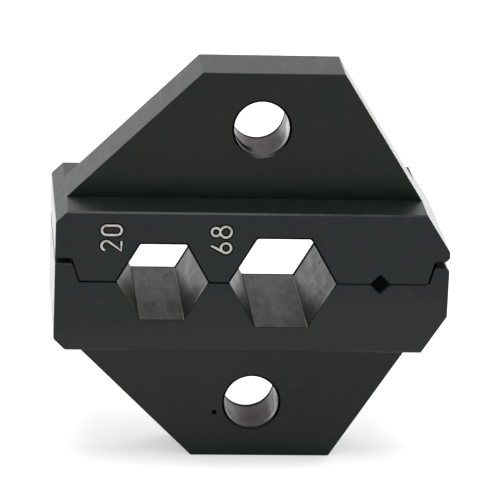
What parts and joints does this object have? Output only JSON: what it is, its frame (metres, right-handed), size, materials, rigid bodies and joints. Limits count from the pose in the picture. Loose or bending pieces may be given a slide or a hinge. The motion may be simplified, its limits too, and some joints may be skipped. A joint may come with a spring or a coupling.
{
  "type": "crimping die",
  "caption": "Split crimping die for a hand tool: blackened steel halves that meet on a stepped parting line, with hexagonal and square nests through the head and a screw hole in each tab.",
  "frame": {"origin": "middle of the die's width and thickness, at the level of the lower tab's end face", "axes": "+Z from the lower die to the upper die, in the direction in which the dies open; +Y through the thickness, from the numbered front face to the back; +X to the right, seen from the front"},
  "size_m": [0.032, 0.0136, 0.033],
  "materials": {
    "die_steel": "satin",
    "number_fill": "matte"
  },
  "bodies": {
    "lower": {"lower_die": "die_steel"},
    "upper": {"upper_die": "die_steel"}
  },
  "joints": [
    {"name": "die_opening", "type": "slide", "parent": "lower", "child": "upper", "axis": [0, 0, 1], "range_m": [0, 0.012]}
  ]
}
